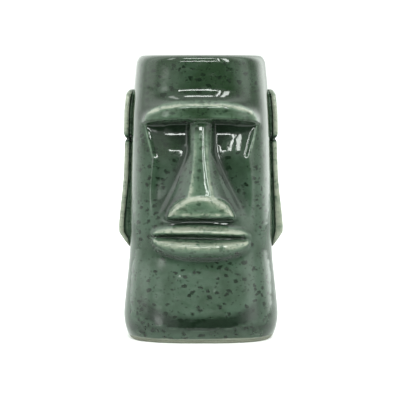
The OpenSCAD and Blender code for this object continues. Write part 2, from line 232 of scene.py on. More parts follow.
def arch(x):
    s = np.minimum(1.0, np.abs(x) / BROW_HALF)
    return 0.6 + (BROW_FACE - 0.6) * (1 - s ** 2.5) ** (1 / 2.5)


def bevel(x):
    return BROW_BEVEL * (0.35 + 0.65 * arch(x) / BROW_FACE)


def brow(x, z):
    s = np.minimum(1.0, np.abs(x) / BROW_HALF)
    reach = 0.8 + (BROW_REACH - 0.8) * np.sqrt(1 - s ** 4)
    t, up = arch(x), z - brow_edge(x)
    low_round = np.sqrt(1 - (1 - clamp(up / np.minimum(BROW_ROUND, 0.6 * t))) ** 2)
    face = mix(0.68, 1.0, low_round)
    above = (1 - clamp((up - t) / (bevel(x) + 2.0))) ** 3
    return np.where((up < 0) | (np.abs(x) > BROW_HALF), -99.0, reach * np.where(up < t, face, above))


def tip_line(x):
    return NOSE_Z + TIP_FACE * clamp(1 - (x / NOSTRIL_HALF) ** 2) ** 0.6


def nose(x, z):
    """The ridge with its flanks, and the pillow of the tip."""
    share = clamp((BROW_Z - z) / (BROW_Z - NOSE_Z))
    front, root = mix(BRIDGE_HALF, RIDGE_HALF, (share / 0.78) ** 3), nose_root(z)
    high = mix(BRIDGE_REACH, 0.9 * TIP_REACH, clamp((BROW_Z - z) / (BROW_Z - NOSE_Z - TIP_FACE)) ** 1.35)
    high = high - mix(0.9, 0.45, share / 0.78) * clamp(np.abs(x) / front) ** 2
    ridge = high * (1 - clamp((np.abs(x) - front) / np.maximum(0.5, root - front))) ** 1.5
    fall = 1 - 0.3 * clamp(np.abs(x) / NOSTRIL_HALF) ** 2
    lean = 1 - 0.2 * clamp((tip_line(x) - z) / TIP_FACE) ** 2
    side = clamp((np.abs(x) - NOSTRIL_HALF) / (nose_root(NOSE_Z) - NOSTRIL_HALF))
    tip = TIP_REACH * fall * lean * ease(tip_line(x) + TIP_BEVEL, tip_line(x), z) * (1 - side) ** 1.5
    return np.where((z < NOSE_Z) | (z > BROW_Z) | (np.abs(x) > root), -99.0, np.maximum(ridge, tip))


def lip_share(x):
    return np.minimum(1.0, np.abs(x) / MOUTH_HALF)


def lip_start(x):
    return 0.5 * MOUTH_GAP * (1 - 0.9 * lip_share(x) ** 2.2)


def lip_tall(x, height):
    return height * (0.3 + 0.7 * (1 - lip_share(x) ** 2.5) ** (1 / 2.5))


UPPER_PATH = ((0, 0.1, 0.3, 0.5, 0.75, 1), (0.85, 1, 0.98, 0.72, 0.28, 0))
LOWER_PATH = ((0, 0.1, 0.28, 0.55, 0.8, 1), (0.45, 0.85, 1, 0.97, 0.6, 0))


def lip(x, z, side, height, path):
    away = side * (z - mouth_level(x)) - lip_start(x)
    share = away / lip_tall(x, height)
    reach = 0.6 + (LIP_REACH - 0.6) * np.sqrt(1 - lip_share(x) ** 4)
    out = carved(x, z) + reach * np.interp(share, path[0], path[1])
    return np.where((away < 0) | (share > 1) | (np.abs(x) > MOUTH_HALF), -99.0, out)


# ---- Height fields over the front, softened as glaze softens clay ----

GRID = 0.2
FIELD_HALF, FIELD_LOW, FIELD_HIGH = 36.0, 36.0, 144.0
FIELD_X = np.arange(-FIELD_HALF, FIELD_HALF + GRID / 2, GRID)
FIELD_Z = np.arange(FIELD_LOW, FIELD_HIGH + GRID / 2, GRID)


def blur(values, sigma):
    reach = int(3 * sigma / GRID) + 1
    steps = np.arange(-reach, reach + 1)
    weights = np.exp(-0.5 * (steps * GRID / sigma) ** 2)
    weights /= weights.sum()
    for axis in (0, 1):
        pad = [(reach, reach) if k == axis else (0, 0) for k in (0, 1)]
        wide = np.pad(values, pad, mode="edge")
        count = values.shape[axis]
        values = sum(w * np.take(wide, np.arange(i, i + count), axis=axis) for i, w in enumerate(weights))
    return values


def sample(values, x, z):
    """Value of a field at places x, z, between its grid points."""
    u = np.clip((x - FIELD_X[0]) / GRID, 0, len(FIELD_X) - 1.001)
    v = np.clip((z - FIELD_Z[0]) / GRID, 0, len(FIELD_Z) - 1.001)
    i, j = u.astype(int), v.astype(int)
    fu, fv = u - i, v - j
    low = values[j, i] * (1 - fu) + values[j, i + 1] * fu
    high = values[j + 1, i] * (1 - fu) + values[j + 1, i + 1] * fu
    return low * (1 - fv) + high * fv


gx, gz = np.meshgrid(FIELD_X, FIELD_Z)
bare = carved(gx, gz)
upper_lip = lip(gx, gz, 1, UPPER_LIP, UPPER_PATH)
lower_lip = lip(gx, gz, -1, LOWER_LIP, LOWER_PATH)
whole = np.maximum.reduce([bare, brow(gx, gz), nose(gx, gz), upper_lip, lower_lip])
GLAZE_SOFT = 0.55
CREASE_FILL = 0.3
soft = blur(whole, GLAZE_SOFT)
wide_mean = blur(soft, 2.2)
relief = blur(soft + CREASE_FILL * np.maximum(0.0, wide_mean - soft) * (soft > -3.5), 0.35)
under = np.minimum(blur(bare, GLAZE_SOFT), relief)
slope_z, slope_x = np.gradient(relief, GRID)
# The cast wall follows the sockets on its inside, more softly
echo = blur(sunk(gx, gz), 2.0)

# Where the glaze is painted pale: thinned over crests and places that stand out, with painted highlights on
# faces that look up and painted shade on faces that look down
hump = relief - blur(relief, 1.6)
# Painted highlight: paler on faces that look up, where they catch the light from above
lit_from_above = ease(0.35, 1.0, -slope_z) * (gz > MOUTH_Z - 12)
# Crests paler where the glaze runs thinner, and more so where they face up: partly a painted highlight
thinned_and_lit_crests = ease(0.1, 0.8, hump) * mix(0.3, 1.0, ease(-0.2, 0.6, -slope_z))
# Painted shade: raised places and the nose tip lose their paleness where they face down
light_by_facing = mix(0.25, 1.0, ease(-0.45, 0.15, -slope_z))
high_spots = ease(0.1, 1.8, relief - blur(relief, 4.5)) * light_by_facing
lips_out = (np.maximum(upper_lip, lower_lip) - bare) / LIP_REACH
# Lips paler where they stand out, but not on their undersides: thinned glaze, with a painted highlight on
# the faces that catch the light
thinned_and_lit_lips = blur(ease(0.3, 0.85, lips_out), 0.5) * ease(-1.4, -0.5, -slope_z)
tip_face = ease(0.6, 0.9, (relief - bare) / TIP_REACH) * light_by_facing
above_lips = muzzle(gx, gz) * (gz > MOUTH_Z)

# Lines beside the nose and round the sockets: a painted highlight and a line of painted shade along the
# crease beside the nose, and a painted highlight on the sockets' outer rims
beside_crease = np.abs(gx) - crease(gz)
down_crease = ease(NOSE_Z - 1, NOSE_Z + 5, gz) * ease(BROW_Z - 10, BROW_Z - 20, gz)
crease_highlight = near(beside_crease - 0.9, 0.35) * down_crease
crease_shade = near(beside_crease + 1.0, 1.0) * down_crease
down_socket = ease(BROW_Z - 26, BROW_Z - 14, gz) * ease(BROW_Z, BROW_Z - 3, gz)
socket_rim_highlight = near(np.abs(gx) - cheek_edge(gz) - 0.4, 0.7) * down_socket

# Painted shadow under the lower lip, fading out towards the mouth's ends
lip_end = MOUTH_Z - lip_start(gx) - lip_tall(gx, LOWER_LIP) - 0.8
shadow_under_lip = near(gz - lip_end, 1.8) * ease(MOUTH_HALF + 1, MOUTH_HALF - 8, np.abs(gx))
# Paleness: thinned glaze, with the painted highlights and painted shade above mixed in
thinning_and_light = clamp(0.5 * thinned_and_lit_crests + 0.42 * lit_from_above + 0.4 * high_spots + 0.3 * thinned_and_lit_lips + 0.34 * tip_face
                   + 0.3 * crease_highlight + 0.45 * socket_rim_highlight + 0.28 * above_lips)
# Darkness: glaze pooled in hollows, with painted shade that grows with the sockets' depth, along the crease
# beside the nose and under the lower lip
hollows_and_socket_shade = (blur(relief, 3.0) - relief) / 1.3 + 0.14 * blur(sunk(gx, gz), 1.0)
pooling_and_shade = clamp(hollows_and_socket_shade + 0.5 * crease_shade + 0.45 * shadow_under_lip)


def front_points(x, z, height):
    return np.stack([x, -plain_front(x, z) - height, z], axis=-1)


def front_normals(x, z):
    step = 0.02
    across = (plain_front(x + step, z) - plain_front(x - step, z)) / (2 * step) + sample(slope_x, x, z)
    along = (plain_front(x, z + step) - plain_front(x, z - step)) / (2 * step) + sample(slope_z, x, z)
    return unit(np.stack([-across, -np.ones_like(x), -along], axis=-1))


# ---- Where each relief piece lies: how far a place is inside its border ----

def inside_brow(x, z):
    top = brow_edge(x) + arch(x) + bevel(x) + 2.0
    return np.minimum.reduce([z - brow_edge(x) + 1.5, top - z, BROW_HALF + 1.4 - np.abs(x)])


def nose_border(z):
    return nose_root(z) + 0.9


def inside_nose(x, z):
    return np.minimum.reduce([z - NOSE_Z + 1.5, brow_edge(0 * x) - 1.5 - z, nose_border(z) - np.abs(x)])


def lip_limits(x, height):
    near = np.maximum(lip_start(x) - 1.1, 0.02)
    return near, lip_start(x) + lip_tall(x, height) + 0.8


def inside_lip(x, z, side, height):
    near, far = lip_limits(x, height)
    away = side * (z - mouth_level(x))
    return np.minimum.reduce([away - near, far - away, MOUTH_HALF + 1.2 - np.abs(x)])


def covered(x, z):
    """0 at and outside the borders of the relief pieces, 1 well inside them."""
    inside = np.maximum.reduce([
        inside_brow(x, z), inside_nose(x, z),
        inside_lip(x, z, 1, UPPER_LIP), inside_lip(x, z, -1, LOWER_LIP),
    ])
    return ease(0.0, 1.0, inside)


# ---- Meshes ----

def make_mesh(name, points, faces, normals=None, thin_and_lit=None, pool_and_shade=None):
    """Object from points in millimetres, with the glaze's paleness and darkness as attributes of its
    points: its thinning and pooling, with painted light and shade mixed in.
    """
    mesh = bpy.data.meshes.new(name)
    mesh.from_pydata((points * MM).tolist(), [], faces)
    mesh.validate()
    for label, values in (("thin_and_lit", thin_and_lit), ("pool_and_shade", pool_and_shade)):
        layer = mesh.attributes.new(label, "FLOAT", "POINT")
        layer.data.foreach_set("value", np.zeros(len(points)) if values is None else values)
    mesh.polygons.foreach_set("use_smooth", [True] * len(mesh.polygons))
    if normals is not None:
        mesh.normals_split_custom_set_from_vertices(normals.tolist())
    mesh.update()
    made = bpy.data.objects.new(name, mesh)
    bpy.context.scene.collection.objects.link(made)
    return made


def ring_faces(rings, columns, start=0):
    """Quads between rings of points, each ring closed on itself."""
    faces = []
    for i in range(rings - 1):
        a, b = start + i * columns, start + (i + 1) * columns
        faces += [(a + j, a + (j + 1) % columns, b + (j + 1) % columns, b + j) for j in range(columns)]
    return faces


def grid_normals(points):
    """Normals of a grid of points whose second axis closes on itself."""
    along = np.gradient(points, axis=0)
    around = np.roll(points, -1, axis=1) - np.roll(points, 1, axis=1)
    return unit(np.cross(around, along))


# ---- Cup ----

FRONT_CELLS, BACK_CELLS = 132, 116
SIDE_START = 0.955


def spaced(low, high, spacing):
    """Heights from low to high, as far apart as spacing says."""
    heights = [low]
    while heights[-1] < high:
        heights.append(heights[-1] + spacing(heights[-1]))
    shrink = (high - low) / (heights[-1] - low)
    return low + (np.array(heights) - low) * shrink


def face_spacing(z):
    if -2.6 < z - BROW_Z < 1.6 or abs(z - NOSE_Z) < 1.8:
        return 0.22
    return 0.32 if abs(z - MOUTH_Z) < 6 else 0.55


def cup_ring(z, a, b):
    """Points across the front and round the back of a plan with half sizes a and b."""
    x = SIDE_START * a * np.linspace(-1, 1, FRONT_CELLS + 1)
    start = math.atan2(-float(rounded_square(x[-1], a, b)), x[-1])
    angle = np.linspace(start, math.pi - start, BACK_CELLS + 1)[1:-1]
    r = ((np.abs(np.cos(angle)) / a) ** SQUARE + (np.abs(np.sin(angle)) / b) ** SQUARE) ** (-1 / SQUARE)
    px = np.concatenate([x, r * np.cos(angle)])
    py = np.concatenate([-rounded_square(x, a, b), r * np.sin(angle)])
    return np.stack([px, py, np.full_like(px, z)], axis=-1)


def cup_outside(heights):
    """Rings of the outer skin, with the front's relief where no relief piece covers it."""
    rings = []
    for z in heights:
        ring = cup_ring(z, float(half_width(z)), float(half_depth(z)))
        x = ring[:FRONT_CELLS + 1, 0]
        level = np.full_like(x, z)
        shown, hidden = sample(relief, x, level), sample(under, x, level)
        height = shown - covered(x, level) * (shown - hidden)
        ring[:FRONT_CELLS + 1, 1] -= height * (FIELD_LOW < z < HEIGHT - LIP_HEIGHT)
        rings.append(ring)
    return rings


def cup_inside():
    """Rings of the inside, from the lip down to the floor."""
    rounding = np.linspace(0, math.pi / 2, 7)[1:]
    floor_turn = np.linspace(0, math.pi / 2, 10)[1:]
    heights = np.concatenate([
        HEIGHT - 2 * INSIDE_ROUND * (1 - np.cos(rounding)),
        np.linspace(HEIGHT - 2 * INSIDE_ROUND, INSIDE_FLOOR + FLOOR_TURN, 60)[1:],
        INSIDE_FLOOR + FLOOR_TURN * (1 - np.sin(floor_turn)),
    ])
    rings = []
    for z in heights:
        widen = round_in(INSIDE_ROUND, (z - HEIGHT + 2 * INSIDE_ROUND) / (2 * INSIDE_ROUND))
        turned = round_in(FLOOR_TURN, 1 - (z - INSIDE_FLOOR) / FLOOR_TURN)
        inset = WALL + turned - widen
        level = min(z, HEIGHT - LIP_HEIGHT)
        ring = cup_ring(z, float(half_width(level) - inset), float(half_depth(level) - inset))
        x = ring[:FRONT_CELLS + 1, 0]
        followed = INSIDE_ECHO * sample(echo, x, np.full_like(x, z))
        ring[:FRONT_CELLS + 1, 1] += followed * (FIELD_LOW < z < FIELD_HIGH)
        rings.append(ring)
    return rings


def cup_glaze(rings, on_front):
    """How pale and how dark the glaze is at each point of the cup: its thinning and pooling, with painted
    light and shade on the face and a painted dark band over the foot.
    """
    thin_and_lit, pool_and_shade = np.zeros(rings.shape[:2]), np.zeros(rings.shape[:2])
    x, z = rings[:, :, 0], rings[:, :, 2]
    reached = on_front & (z > FIELD_LOW + 1) & (z < FIELD_HIGH - 1)
    thin_and_lit[reached] = sample(thinning_and_light, x, z)[reached]
    pool_and_shade[reached] = sample(pooling_and_shade, x, z)[reached]
    # A painted dark band over the foot's bulge, standing in for the dark reflection seen there, with a
    # narrow pale line along its lower edge
    low_edge = 7.6 + 2.0 * (x / 20) ** 2
    high_edge = 14.5 + 2.6 * (np.abs(x) / 20) ** 3
    band = ease(low_edge - 0.4, low_edge + 0.9, z) * ease(high_edge + 1.5, high_edge - 2.5, z)
    pool_and_shade += 0.95 * band * ease(36, 24, np.abs(x)) * on_front
    thin_and_lit += 0.4 * near(z - low_edge + 0.8, 0.6) * ease(34, 20, np.abs(x)) * on_front
    # Thin on the lip, pooled round the inside's floor
    thin_and_lit += 0.2 * near(z - HEIGHT + 1.6, 1.5)
    pool_and_shade += 0.7 * near(z - INSIDE_FLOOR, 2.5)
    return clamp(thin_and_lit.ravel()), clamp(pool_and_shade.ravel())


def make_cup():
    face_low, face_high = 40.0, HEIGHT - LEAN_HEIGHT
    turn = np.linspace(0, math.pi / 2, 13)
    heights = np.concatenate([
        FOOT + (SIDE_BELLY - FOOT) * (1 - np.cos(turn[:-1])),
        np.linspace(SIDE_BELLY, face_low, 24)[:-1],
        spaced(face_low, face_high, face_spacing)[:-1],
        np.linspace(face_high, HEIGHT - LIP_HEIGHT, 9)[:-1],
        HEIGHT - LIP_HEIGHT + LIP_HEIGHT * np.sin(turn),
    ])
    outer, inner = cup_outside(heights), cup_inside()
    beneath = [outer[0] * (s, s, 1) for s in (0.02, 0.3, 0.6, 0.85, 0.97)]
    floor = [inner[-1] * (s, s, 1) for s in (0.97, 0.85, 0.6, 0.3, 0.02)]
    rings = np.array(beneath + outer + inner + floor)
    count, columns = rings.shape[:2]

    normals = grid_normals(rings)
    for i, z in enumerate(heights, len(beneath)):
        if 44 < z < face_high:
            x = rings[i, :FRONT_CELLS + 1, 0]
            normals[i, :FRONT_CELLS + 1] = front_normals(x, np.full_like(x, z))

    outside = np.arange(count)[:, None] < len(beneath) + len(outer)
    thin_and_lit, pool_and_shade = cup_glaze(rings, outside & (np.arange(columns)[None, :] <= FRONT_CELLS))
    last = (count - 1) * columns
    faces = ring_faces(count, columns)
    faces.append(tuple(range(columns - 1, -1, -1)))
    faces.append(tuple(last + j for j in range(columns)))
    return make_mesh("glazed_cup", rings.reshape(-1, 3), faces, normals.reshape(-1, 3), thin_and_lit, pool_and_shade)


# ---- Relief pieces: an outer skin, and a back that meets it at the border ----

def relief_piece(name, x, z):
    """Closed piece over a grid of places x, z on the front."""
    rows, columns = x.shape
    outer = sample(relief, x, z)
    back = outer - covered(x, z) * (outer - sample(under, x, z)) * 0.97
    points = np.concatenate([front_points(x, z, height).reshape(-1, 3) for height in (outer, back)])
    size = rows * columns
    index = np.arange(size).reshape(rows, columns)
    behind = index + size
    behind[0], behind[-1], behind[:, 0], behind[:, -1] = index[0], index[-1], index[:, 0], index[:, -1]
    normal = front_normals(x, z).reshape(-1, 3)
    faces = []
    for i in range(rows - 1):
        for j in range(columns - 1):
            faces.append((index[i, j], index[i, j + 1], index[i + 1, j + 1], index[i + 1, j]))
            faces.append((behind[i, j], behind[i + 1, j], behind[i + 1, j + 1], behind[i, j + 1]))
    used = np.unique(np.array(faces).ravel())
    renumber = np.zeros(2 * size, dtype=int)
    renumber[used] = np.arange(len(used))
    faces = renumber[np.array(faces)].tolist()
    normals = np.concatenate([normal, -normal])[used]
    thin_and_lit = np.concatenate([sample(thinning_and_light, x, z).ravel(), np.zeros(size)])[used]
    pool_and_shade = np.concatenate([sample(pooling_and_shade, x, z).ravel(), np.zeros(size)])[used]
    return make_mesh(name, points[used], faces, normals, thin_and_lit, pool_and_shade)


def make_brow():
    across = np.linspace(-BROW_HALF - 1.4, BROW_HALF + 1.4, 129)
    share = np.concatenate([np.linspace(0, 0.22, 16)[:-1], np.linspace(0.22, 1, 34)])[:, None]
    low = brow_edge(across) - 1.5
    high = brow_edge(across) + arch(across) + bevel(across) + 2.0
    x = np.broadcast_to(across, (len(share), len(across)))
    return relief_piece("glazed_brow", x, mix(low, high, share))


def make_nose():
    low, high = NOSE_Z - 1.5, BROW_Z - 1.5
    heights = np.concatenate([np.linspace(low, NOSE_Z + 1.2, 16)[:-1], np.linspace(NOSE_Z + 1.2, high, 96)])
    share = np.linspace(-1, 1, 73)
    z = np.broadcast_to(heights[:, None], (len(heights), len(share)))
    return relief_piece("glazed_nose", nose_border(z) * share, z)


def make_lip(name, side, height):
    across = np.linspace(-MOUTH_HALF - 1.2, MOUTH_HALF + 1.2, 121)
    near, far = lip_limits(across, height)
    share = np.concatenate([np.linspace(0, 0.3, 14)[:-1], np.linspace(0.3, 1, 20)])[:, None]
    x = np.broadcast_to(across, (len(share), len(across)))
    z = mouth_level(across) + side * mix(near, far, share)
    if side < 0:
        x, z = x[::-1], z[::-1]
    return relief_piece(name, x, z)


# ---- Ears ----

def rounded_end(distance, run):
    return np.sqrt(np.maximum(0.0, 1 - (1 - clamp(distance / run)) ** 2))


def smooth_path(points, cells):
    """Points along a Catmull-Rom curve through an open list of points."""
    p = np.array([points[0]] + list(points) + [points[-1]], dtype=float)
    out = []
    for i in range(1, len(p) - 2):
        for t in np.arange(cells) / cells:
            out.append(0.5 * (2 * p[i] + (p[i + 1] - p[i - 1]) * t
                              + (2 * p[i - 1] - 5 * p[i] + 4 * p[i + 1] - p[i + 2]) * t ** 2
                              + (3 * p[i] - p[i - 1] - 3 * p[i + 1] + p[i + 2]) * t ** 3))
    out.append(p[-2])
    return np.array(out)


def ear_section(front, back, reach, curl, dish, rim):
    """Section of an ear as [depth, height, paleness, darkness]: from its back, over it, and in under the
    rim. Darkness is pooled glaze, and painted shade under the rim.
    """
    width = back - front
    rim = min(rim, 0.78 * reach)
    under_rim = reach - rim
    root = front + min(0.9 + 2.2 * curl, 0.55 * width)
    path = [
        (back + 0.6, -0.35, 0, 0.2), (back - 0.02 * width, 0.15 * reach, 0, 0.35),
        (back - 0.10 * width, 0.45 * reach, 0.2, 0), (back - 0.20 * width, 0.70 * reach, 0.75, 0),
        (back - 0.33 * width, 0.80 * reach - 0.3 * dish, 0.2, 0.1),
        (back - 0.52 * width, 0.86 * reach - dish, 0, 0.5),
        (back - 0.74 * width, 0.97 * reach - 0.4 * dish, 0.25, 0.1), (front + 0.14 * width, reach, 0.8, 0),
        (front + 0.03 * width, reach - 0.12 * rim, 1, 0), (front, reach - 0.5 * rim, 1, 0),
        # Under the curled rim the glaze is painted dark: painted shade in the hollow behind the rim
        (front + 0.03 * width, reach - 0.88 * rim, 0.8, 0), (mix(front, root, 0.4), under_rim, 0.1, 0.5),
        (mix(front, root, 0.85), 0.85 * under_rim, 0.2, 0.2), (root, 0.45 * under_rim, 0.5, 0),
        (mix(front, root, 0.9), 0.1 * under_rim, 0.4, 0), (mix(front, root, 0.6), -0.35, 0.35, 0),
    ]
    return smooth_path(path, 3)


def make_ear_piece(name, side, sections):
    """Closed skin over sections, each [height, front, back, reach, curl, dish, rim]."""
    rings, thin_and_lit, pool_and_shade = [], [], []
    for z, front, back, reach, curl, dish, rim in sections:
        section = ear_section(front, back, reach, curl, dish, rim)
        y, out = section[:, 0], section[:, 1]
        contact_y = np.linspace(y[-1], y[0], 8)[1:-1]
        y = np.concatenate([y, contact_y])
        out = np.concatenate([out, np.full(6, -0.8)])
        rings.append(np.stack([side * (plain_side(y, z) + out), y, np.full_like(y, z)], axis=-1))
        # Painted shade in the notch between the upper ear and the lobe: darker, and not pale
        notch_shade = float(ease(3.0, 0.5, abs(z - NOTCH_Z)))
        thin_and_lit.append(np.concatenate([section[:, 2] * (1 - notch_shade), np.zeros(6)]))
        pool_and_shade.append(np.concatenate([section[:, 3] + 0.9 * notch_shade, np.zeros(6)]))
    rings = np.array(rings)
    count, columns = rings.shape[:2]
    faces = ring_faces(count, columns)
    faces.append(tuple(range(columns - 1, -1, -1)))
    faces.append(tuple((count - 1) * columns + j for j in range(columns)))
    if side > 0:
        faces = [face[::-1] for face in faces]
    thin_and_lit, pool_and_shade = clamp(np.array(thin_and_lit).ravel()), clamp(np.array(pool_and_shade).ravel())
    return make_mesh(name, rings.reshape(-1, 3), faces, None, thin_and_lit, pool_and_shade)


def upper_ear(side, name):
    sections = []
    for f in np.linspace(0, 1, 46):
        z = mix(NOTCH_Z + 0.02, EAR_TOP - 0.1, 1 - (1 - f) ** 1.5)
        top = max(0.2, float(rounded_end(EAR_TOP - z, 0.55 * EAR_WIDTH)))
        square = float(rounded_end(EAR_TOP - z, 4.0))
        low = float(rounded_end(z - NOTCH_Z + 0.3, 4.0))
        back = EAR_FRONT + EAR_WIDTH * (0.74 + 0.26 * float(ease(NOTCH_Z, NOTCH_Z + 12, z)))
        middle = mix(EAR_FRONT, back, 0.42)
        reach = EAR_REACH * (0.3 + 0.7 * square) * (0.4 + 0.6 * low)
        curl = min(float(clamp((EAR_TOP - z - 1.8) / 2.5)), low)
        sections.append((z, mix(middle, EAR_FRONT, top), mix(middle, back, top), reach, curl,
                         0.7 * top * low, EAR_RIM))
    return make_ear_piece(name, side, sections)


def ear_lobe(side, name):
    sections = []
    lobe_rim = LEFT_LOBE_RIM if side < 0 else RIGHT_LOBE_RIM
    for f in np.linspace(0, 1, 76):
        z = mix(LOBE_Z + 0.1, NOTCH_Z - 0.02, f ** 1.4)
        bottom = max(0.2, float(rounded_end(z - LOBE_Z, LOBE_SLOPE)))
        slope = max(0.12, float(clamp((z - LOBE_Z) / LOBE_SLOPE)) ** 0.8)
        top = float(rounded_end(NOTCH_Z - z + 0.3, 3.5))
        swell = float(ease(LOBE_Z + 42, LOBE_Z + 8, z))
        back = EAR_FRONT + EAR_WIDTH * (0.72 + 0.2 * swell)
        middle = mix(EAR_FRONT, back, 0.4)
        reach = mix(0.85 * EAR_REACH, LOBE_REACH, swell) * slope * (0.45 + 0.55 * top)
        curl = min(float(clamp((z - LOBE_Z - 2.2) / 3)), top)
        sections.append((z, mix(middle, EAR_FRONT, bottom), mix(middle, back, bottom), reach, curl,
                         0.5 * bottom * top, mix(EAR_RIM, lobe_rim, swell)))
    return make_ear_piece(name, side, sections)


# ---- Foot ring ----

def make_foot():
    a, b = float(half_width(FOOT)), float(half_depth(FOOT))
    path = [
        (FOOT, FOOT_STEP - 0.2), (0.5 * FOOT, FOOT_STEP + 0.1), (0.25 * FOOT, FOOT_STEP + 0.45),
        (0.08 * FOOT, FOOT_STEP + 0.9), (0.0, FOOT_STEP + 1.7), (0.0, FOOT_STEP + FOOT_BAND - 1.5),
        (0.12 * FOOT, FOOT_STEP + FOOT_BAND - 0.8), (0.5 * FOOT, FOOT_STEP + FOOT_BAND - 0.2),
        (FOOT, FOOT_STEP + FOOT_BAND),
    ]
    rings = np.array([cup_ring(z, a - inset, b - inset) for z, inset in path])
    count, columns = rings.shape[:2]
    faces = [face[::-1] for face in ring_faces(count, columns)]
    last = (count - 1) * columns
    faces += [(last + j, last + (j + 1) % columns, (j + 1) % columns, j)[::-1] for j in range(columns)]
    return make_mesh("clay_foot", rings.reshape(-1, 3), faces)


# ---- Materials ----

class Nodes:
    """Short names for adding and joining the nodes of a material or a world."""

    def __init__(self, holder, shader="Principled BSDF"):
        holder.use_nodes = True
        self.tree = holder.node_tree
        self.shader = self.tree.nodes[shader]

    def add(self, kind, **inputs):
        node = self.tree.nodes.new(kind)
        for key, value in inputs.items():
            if key in node.inputs:
                node.inputs[key].default_value = value
            else:
                setattr(node, key, value)
        return node

    def join(self, source, target):
        self.tree.links.new(source, target)

    def colour_mix(self, factor, first, second):
        node = self.tree.nodes.new("ShaderNodeMix")
        node.data_type = "RGBA"
        for socket, value in zip((node.inputs[0], node.inputs[6], node.inputs[7]), (factor, first, second)):
            if isinstance(value, bpy.types.NodeSocket):
                self.join(value, socket)
            else:
                socket.default_value = value
        return node.outputs[2]

    def maths(self, operation, first, second=0.0, limit=False):
        node = self.tree.nodes.new("ShaderNodeMath")
        node.operation, node.use_clamp = operation, limit
        for socket, value in zip(node.inputs, (first, second)):
            if isinstance(value, bpy.types.NodeSocket):
                self.join(value, socket)
            else:
                socket.default_value = value
        return node.outputs[0]

    def ramp(self, value, start, end):
        """Eased 0 to 1 as value goes from start to end, whichever is the larger."""
        node = self.tree.nodes.new("ShaderNodeMapRange")
        node.interpolation_type = "SMOOTHSTEP"
        self.join(value, node.inputs["Value"])
        node.inputs["From Min"].default_value = min(start, end)
        node.inputs["From Max"].default_value = max(start, end)
        if start > end:
            return self.maths("SUBTRACT", 1.0, node.outputs["Result"])
        return node.outputs["Result"]

    def band(self, value, start, end, soft):
        """1 where value is from start to end, falling to 0 over soft on each side."""
        rise = self.ramp(value, start - soft, start + soft)
        return self.maths("MULTIPLY", rise, self.ramp(value, end + soft, end - soft))


def srgb(r, g, b):
    """Linear colour from 0 to 255 screen values."""
    shares = [v / 255 for v in (r, g, b)]
    return tuple(v / 12.92 if v <= 0.04 else ((v + 0.055) / 1.055) ** 2.4 for v in shares) + (1.0,)


GLAZE_MID = srgb(54, 71, 58)
GLAZE_DARK = srgb(28, 44, 28)
# Thinned glaze colours, also used for painted highlights
GLAZE_LIGHT = srgb(69, 87, 71)
GLAZE_PALE = srgb(127, 132, 118)
# Pooled glaze colour, also used for painted shade
GLAZE_POOL_AND_SHADE = srgb(12, 21, 14)
SPECK = srgb(12, 25, 14)
CLAY = srgb(116, 121, 107)
CLAY_DARK, CLAY_STAIN = srgb(96, 98, 84), srgb(84, 84, 70)
DARKER_FROM, DARKER_TO = 70.0, 125.0


